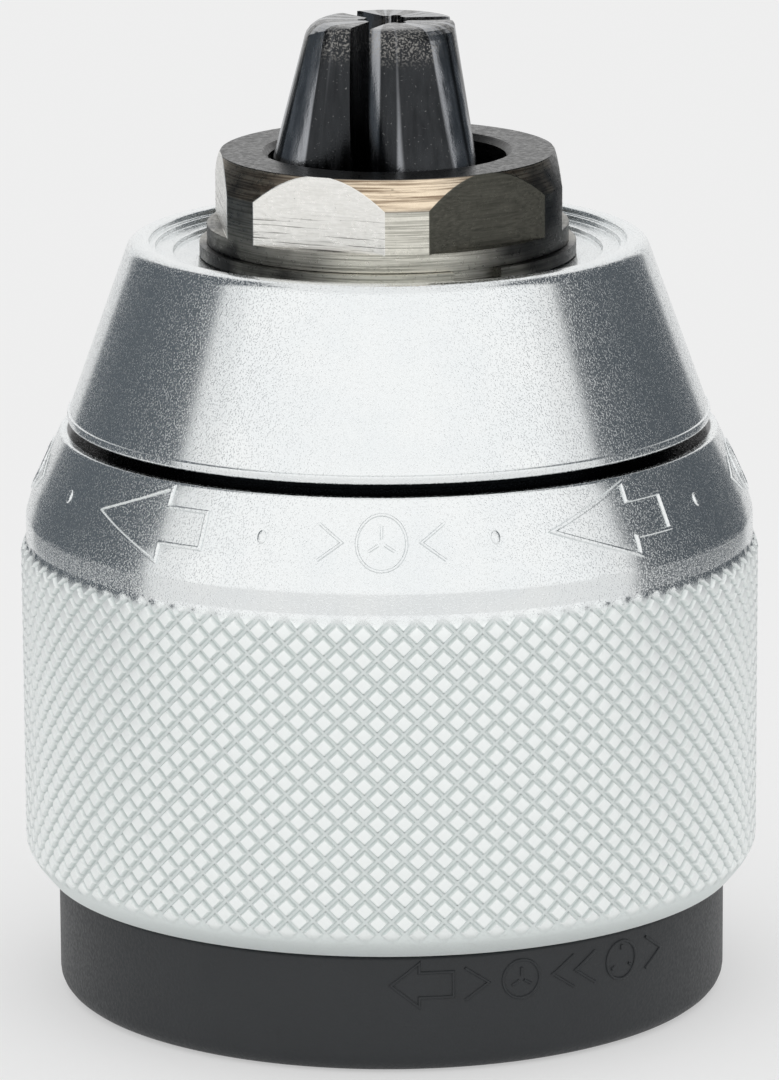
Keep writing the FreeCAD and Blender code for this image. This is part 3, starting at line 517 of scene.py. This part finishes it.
shoulder_outline = rounded([
    (BAND_RADIUS, skin_high, 0),
    (BAND_RADIUS, skin_high + 0.06, 0),
    (BAND_RADIUS, shoulder_back, 1.6),
    (BAND_RADIUS - 0.45, shoulder_back + 1.5, 3.0),
    (BAND_RADIUS - 2.05, sleeve_top - 0.75, 0.6),
    (BAND_RADIUS - 2.4, sleeve_top, 0.25),
    (BAND_RADIUS - 4.2, sleeve_top, 0),
], 5)


def make_clamp_sleeve():
    """Knurled skin outside, and the CAD sleeve's own bore, key slots and cams inside."""
    bm = knurled_band()
    trim(bm, skin_high, above=True)
    trim(bm, skin_low, above=False)
    carry_on(bm, skin_high, shoulder_outline[1:])
    foot_levels = np.linspace(skin_low, sleeve_bottom, 7)[1:]
    foot = [(float(foot_outline(level)), float(level)) for level in foot_levels]
    carry_on(bm, skin_low, foot + [(FOOT_RADIUS - 1.2, sleeve_bottom)])

    inside = bmesh.new()
    inside.from_mesh(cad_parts["clamp_sleeve"].data)
    bmesh.ops.remove_doubles(inside, verts=inside.verts, dist=1e-6)
    skin = []
    for face in inside.faces:
        middle = face.calc_center_median()
        outwards = face.normal.xy.dot(middle.xy.normalized()) > 0.05
        heights = [corner.co.z / MM for corner in face.verts]
        at_end = min(heights) > sleeve_top - 0.01 or max(heights) < sleeve_bottom + 0.01
        if at_end or (outwards and middle.xy.length > SKIN_RADIUS * MM):
            skin.append(face)
    bmesh.ops.delete(inside, geom=skin, context="FACES")
    scratch = bpy.data.meshes.new("scratch")
    inside.to_mesh(scratch)
    inside.free()
    bm.from_mesh(scratch)
    bpy.data.meshes.remove(scratch)
    for level in (sleeve_top, sleeve_bottom):
        stitch(bm, level)
    bmesh.ops.delete(bm, geom=[corner for corner in bm.verts if not corner.link_faces], context="VERTS")
    return add_piece("knurled_clamp_sleeve", bm, satin_chrome("satin_chrome_knurl", knurl_finish_and_groove_shade=True),
                     "sleeve", ("clamp_sleeve",))


# --------------------------------------------------------- front sleeve and ring


def make_front_sleeve():
    hub = CORE_RADIUS + 1.2
    return add_piece("turned_front_sleeve", revolve(rounded([
        (CORE_RADIUS, CORE_FRONT, 0),
        (CORE_RADIUS, COLLAR_BACK, 0),
        (COLLAR_HOLE, COLLAR_BACK, 0),
        (COLLAR_HOLE, recess_floor, STEP_EDGE),
        (MOUTH_RADIUS - LOW_STEP_WIDTH, recess_floor, STEP_EDGE),
        (MOUTH_RADIUS - LOW_STEP_WIDTH, recess_floor + RECESS_STEP, STEP_EDGE),
        (MOUTH_RADIUS - HIGH_STEP_WIDTH, recess_floor + RECESS_STEP, STEP_EDGE),
        (MOUTH_RADIUS - HIGH_STEP_WIDTH, recess_floor + 2 * RECESS_STEP, STEP_EDGE),
        (MOUTH_RADIUS, recess_floor + 2 * RECESS_STEP, STEP_EDGE),
        (MOUTH_RADIUS, cone_top, 0.45),
        (CONE_TOP_RADIUS, cone_top, 1.0),
        (cone_radius - 0.15, cone_bottom + CONE_LIP, 0.12),
        (cone_radius, cone_bottom + CONE_LIP, 0.08),
        (cone_radius, cone_bottom, 0.2),
        (NECK_RADIUS, cone_bottom, 0),
        (NECK_RADIUS, neck_bottom, 0.15),
        (NECK_RADIUS - 1.3, neck_bottom, 0),
        (NECK_RADIUS - 1.3, cone_bottom + 2, 0),
        (hub + 0.4, recess_floor - 2, 0),
        (hub, recess_floor - 2, 0),
        (hub, CORE_FRONT, 0),
    ])), satin_chrome("satin_chrome_cone"), "frame", ("front_sleeve",))


RING_HUB_RADIUS = 11.4
RING_RECESS = 1.2
RING_FLOOR = 3.2
RING_HEIGHT = 8.0
RING_NECK_RADIUS = 21.707
RING_BORE_RADIUS = 20.107


def make_rear_ring():
    return add_piece("moulded_rear_ring", revolve(rounded([
        (RING_HUB_RADIUS, RING_RECESS, 0.1),
        (ring_radius - 2.6, RING_RECESS, 0.3),
        (ring_radius - 2.6, ring_bottom, 0.4),
        (ring_radius, ring_bottom, 1.25),
        (ring_radius, RING_HEIGHT, 0.3),
        (RING_NECK_RADIUS, RING_HEIGHT, 0.1),
        (RING_NECK_RADIUS, ring_top, 0.1),
        (RING_BORE_RADIUS, ring_top, 0.1),
        (RING_BORE_RADIUS, RING_FLOOR, 0.3),
        (RING_HUB_RADIUS, RING_FLOOR, 0.1),
    ])), plastic, "frame", ("rear_ring",))


# ------------------------------------------------------------------ raised marks

RIDGE_STEP = 0.3
RIDGE_SECTION = [(-1, -0.5), (-0.85, 0.45), (-0.45, 0.9), (0, 1), (0.45, 0.9), (0.85, 0.45), (1, -0.5)]


def wall_point(outline, azimuth, level):
    """Place and outward normal on a turned wall, in metres."""
    heights = [point[1] for point in outline]
    radii = [point[0] for point in outline]
    radius = float(np.interp(level, heights, radii))
    slope = float(np.interp(level + 0.05, heights, radii) - np.interp(level - 0.05, heights, radii)) / 0.1
    turn = math.radians(azimuth)
    outwards = Vector((math.sin(turn), -math.cos(turn), 0))
    return around(azimuth, radius, level), (outwards - Vector((0, 0, slope))).normalized()


def add_ridge(bm, outline, corners, width, height, closed=True):
    """Raised line through (azimuth, level) corners on a wall."""
    scale = math.radians(1) * outline[0][0]
    path = []
    spans = len(corners) if closed else len(corners) - 1
    for index in range(spans):
        start, end = Vector(corners[index]), Vector(corners[(index + 1) % len(corners)])
        length = math.hypot((end.x - start.x) * scale, end.y - start.y)
        steps = max(1, round(length / RIDGE_STEP))
        path += [start.lerp(end, step / steps) for step in range(steps)]
    if not closed:
        path.append(Vector(corners[-1]))
    placed = [wall_point(outline, *point) for point in path]
    rings = []
    for index, (place, normal) in enumerate(placed):
        back = placed[index - 1][0] if closed or index else place
        ahead = placed[(index + 1) % len(placed)][0] if closed or index < len(placed) - 1 else place
        before, after = (place - back), (ahead - place)
        along = (before.normalized() + after.normalized()).normalized()
        side = along.cross(normal).normalized()
        straight = (after if after.length else before).normalized().cross(normal).normalized()
        mitre = min(1 / max(side.dot(straight), 0.4), 2.2)
        rings.append([bm.verts.new(place + side * across * mitre * width / 2 * MM
                                   + normal * up * height * MM)
                      for across, up in RIDGE_SECTION])
    count = len(RIDGE_SECTION)
    for index in range(len(rings) if closed else len(rings) - 1):
        here, beside = rings[index], rings[(index + 1) % len(rings)]
        for point in range(count):
            after = (point + 1) % count
            bm.faces.new((here[point], here[after], beside[after], beside[point]))
    if not closed:
        bm.faces.new(rings[0])
        bm.faces.new(rings[-1][::-1])


def add_dome(bm, outline, azimuth, level, wide, tall, height):
    """Small oval dome on a wall."""
    place, normal = wall_point(outline, azimuth, level)
    side = Vector((0, 0, 1)).cross(normal).normalized()
    up = normal.cross(side)
    axes = Matrix((side * wide * MM, up * tall * MM, normal * height * MM)).transposed().to_4x4()
    bmesh.ops.create_uvsphere(bm, u_segments=16, v_segments=10, radius=1.0,
                              matrix=Matrix.Translation(place) @ axes)


def add_arrow(bm, outline, azimuth, level, head, tail, tall, shaft, width, height):
    """Outline of an arrow that points to the left, its tip at an azimuth; lengths in degrees."""
    add_ridge(bm, outline, [
        (azimuth, level),
        (azimuth + head, level + tall),
        (azimuth + head, level + shaft),
        (azimuth + head + tail, level + shaft),
        (azimuth + head + tail, level - shaft),
        (azimuth + head, level - shaft),
        (azimuth + head, level - tall),
    ], width, height)


def add_jaws_sign(bm, outline, azimuth, level, size, opening, width, height):
    """Generic sign: a circle with three jaws, drawn in to close and out to open."""
    per_mm = math.degrees(1) / outline[0][0]

    def spot(angle, distance):
        turn = math.radians(angle)
        return azimuth + math.sin(turn) * distance * per_mm, level + math.cos(turn) * distance

    add_ridge(bm, outline, [spot(angle, size) for angle in range(0, 360, 12)], width, height)
    inner, outer = (0.55, 0.8) if opening else (0.15, 0.6)
    for angle in (0, 120, 240):
        add_ridge(bm, outline, [spot(angle, size * inner), spot(angle, size * outer)],
                  width, height, closed=False)
    for side in (-1, 1):
        near, far = (size + 1.0) * per_mm, (size + 2.6) * per_mm
        tip, tail = (far, near) if opening else (near, far)
        add_ridge(bm, outline, [(azimuth + side * tail, level + 1.1), (azimuth + side * tip, level),
                                (azimuth + side * tail, level - 1.1)], width, height, closed=False)


MARK_LEVEL = sleeve_top - 2.6
SLEEVE_ARROW = {"head": 15.7, "tail": 7.8, "tall": 2.25, "shaft": 1.1, "width": 0.34, "height": 0.17}
SLEEVE_SIGN = {"size": 1.7, "width": 0.24, "height": 0.12}
CLOSE_SIGNS = (-1.25, 178.75)
OPEN_SIGNS = (87.9, -92.1)
RING_MARK_LEVEL = 6.0
RING_ARROW = {"head": 4.7, "tail": 5.7, "tall": 1.5, "shaft": 0.85, "width": 0.22, "height": 0.10}
RING_SIGN = {"size": 1.3, "width": 0.22, "height": 0.10}
ARROW_CENTRES = (-42.7, 38.5, 137.3, -141.5)
DOT_AZIMUTHS = (-64.7, -20.6, 17.0, 59.8, 115.3, 159.4, -163.0, -120.2)


def make_sleeve_marks():
    bm = bmesh.new()
    for centre in ARROW_CENTRES:
        add_arrow(bm, shoulder_outline, centre - 11.8, MARK_LEVEL, **SLEEVE_ARROW)
    for azimuth in DOT_AZIMUTHS:
        add_dome(bm, shoulder_outline, azimuth, MARK_LEVEL, 0.32, 0.48, 0.14)
    for azimuth in CLOSE_SIGNS:
        add_jaws_sign(bm, shoulder_outline, azimuth, MARK_LEVEL - 0.1, opening=False, **SLEEVE_SIGN)
    for azimuth in OPEN_SIGNS:
        add_jaws_sign(bm, shoulder_outline, azimuth, MARK_LEVEL - 0.1, opening=True, **SLEEVE_SIGN)
    return add_piece("sleeve_marks", bm, satin_chrome("satin_chrome_marks"), "sleeve")


def make_ring_marks():
    wall = [(ring_radius, 0), (ring_radius, RING_HEIGHT)]
    bm = bmesh.new()
    add_arrow(bm, wall, -0.2, RING_MARK_LEVEL + 0.05, **RING_ARROW)
    add_jaws_sign(bm, wall, 22.0, RING_MARK_LEVEL, opening=False, **RING_SIGN)
    add_jaws_sign(bm, wall, 42.0, RING_MARK_LEVEL, opening=True, **RING_SIGN)
    add_arrow(bm, wall, 179.8, RING_MARK_LEVEL + 0.05, **RING_ARROW)
    return add_piece("ring_marks", bm, plastic, "frame")


# -------------------------------------------------------------------- the object

plastic = moulded_plastic("black_moulded_plastic", (0.006, 0.008, 0.010), (0.020, 0.023, 0.026), 0.50)

make_clamp_sleeve()
make_front_sleeve()
make_rear_ring()
make_sleeve_marks()
make_ring_marks()

oiled = turned_steel("oiled_steel", (0.22, 0.21, 0.20), (0.55, 0.53, 0.50), 0.28, 0.42)
ground = turned_steel("ground_bearing_steel", (0.60, 0.60, 0.61), (0.85, 0.85, 0.86), 0.10, 0.20)
spring = turned_steel("bright_spring_steel", (0.45, 0.44, 0.42), (0.85, 0.84, 0.82), 0.16, 0.30)
cage = moulded_plastic("cage_plastic", (0.11, 0.14, 0.08), (0.20, 0.25, 0.15), 0.45)
body = black_oxide_body()
jaw = black_oxide_jaw()
FINISHES = {
    "chuck_body": body,
    "jaw_1": jaw,
    "jaw_2": jaw,
    "jaw_3": jaw,
    "snap_ring": body,
    "rear_circlip": spring,
    "ratchet_race": ground,
    "front_race": ground,
    "bearing_balls": ground,
    "ball_cage": cage,
    "nut_half_1": oiled,
    "nut_half_2": oiled,
    "nut_band": oiled,
    "pawl_1": spring,
    "pawl_2": spring,
}
for name, finish in FINISHES.items():
    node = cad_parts[name]
    for place in node.material_slots:
        place.material = finish

# ------------------------------------------------------------- studio and camera

FLOOR_SIZE = 6.0
DARK_CARD = (0.05, 0.057, 0.064)


def plain_shader(name, colour, glow=None):
    material = bpy.data.materials.new(name)
    material.use_nodes = True
    surface = material.node_tree.nodes["Principled BSDF"]
    surface.inputs["Base Color"].default_value = (*colour, 1)
    surface.inputs["Roughness"].default_value = 0.9
    surface.inputs["Specular IOR Level"].default_value = 0.0
    if glow is not None:
        surface.inputs["Emission Color"].default_value = (*colour, 1)
        surface.inputs["Emission Strength"].default_value = glow
    return material


def make_floor():
    bm = bmesh.new()
    bmesh.ops.create_grid(bm, x_segments=2, y_segments=2, size=FLOOR_SIZE / 2)
    mesh = bpy.data.meshes.new("floor")
    bm.to_mesh(mesh)
    bm.free()
    floor = bpy.data.objects.new("floor", mesh)
    bpy.context.scene.collection.objects.link(floor)
    mesh.materials.append(plain_shader("pale_floor", (0.45, 0.45, 0.45), 0.955))


def make_card(name, azimuths, radius, heights, colour, glow):
    """Curved studio card round the object that only reflections see."""
    bm = bmesh.new()
    spokes = np.linspace(*azimuths, 25)
    low = [bm.verts.new(around(turn, radius, heights[0])) for turn in spokes]
    high = [bm.verts.new(around(turn, radius, heights[1])) for turn in spokes]
    for index in range(len(spokes) - 1):
        bm.faces.new((low[index], low[index + 1], high[index + 1], high[index]))
    mesh = bpy.data.meshes.new(name)
    bm.to_mesh(mesh)
    bm.free()
    card = bpy.data.objects.new(name, mesh)
    bpy.context.scene.collection.objects.link(card)
    mesh.materials.append(plain_shader(name, colour, glow))
    card.visible_camera = False
    card.visible_diffuse = False
    card.visible_shadow = False
    card.visible_transmission = False


make_floor()
make_card("dark_card_right", (73, 138), 95, (12, 230), DARK_CARD, 1.0)
make_card("dark_card_left", (-138, -73), 95, (12, 230), DARK_CARD, 1.3)
make_card("front_softbox", (-64, 64), 300, (1, 380), (0.5, 0.5, 0.5), 1.20)

world = bpy.data.worlds.new("studio")
world.use_nodes = True
world.node_tree.nodes["Background"].inputs["Color"].default_value = (0.955, 0.955, 0.955, 1)
bpy.context.scene.world = world
bpy.context.scene.view_settings.view_transform = "Standard"

CAMERA_DISTANCE = 0.450
CAMERA_HEIGHT = 0.138
CAMERA_PITCH = 13.42
CAMERA_ROLL = -0.32
CAMERA_LENS = 227.3

camera = bpy.data.objects.new("camera", bpy.data.cameras.new("camera"))
bpy.context.scene.collection.objects.link(camera)
camera.data.sensor_width = 36
camera.data.lens = CAMERA_LENS
camera.data.clip_start = 0.01
camera.matrix_world = (Matrix.Translation((0, -CAMERA_DISTANCE, CAMERA_HEIGHT))
                       @ Matrix.Rotation(math.radians(90 - CAMERA_PITCH), 4, "X")
                       @ Matrix.Rotation(math.radians(CAMERA_ROLL), 4, "Z"))
bpy.context.scene.camera = camera
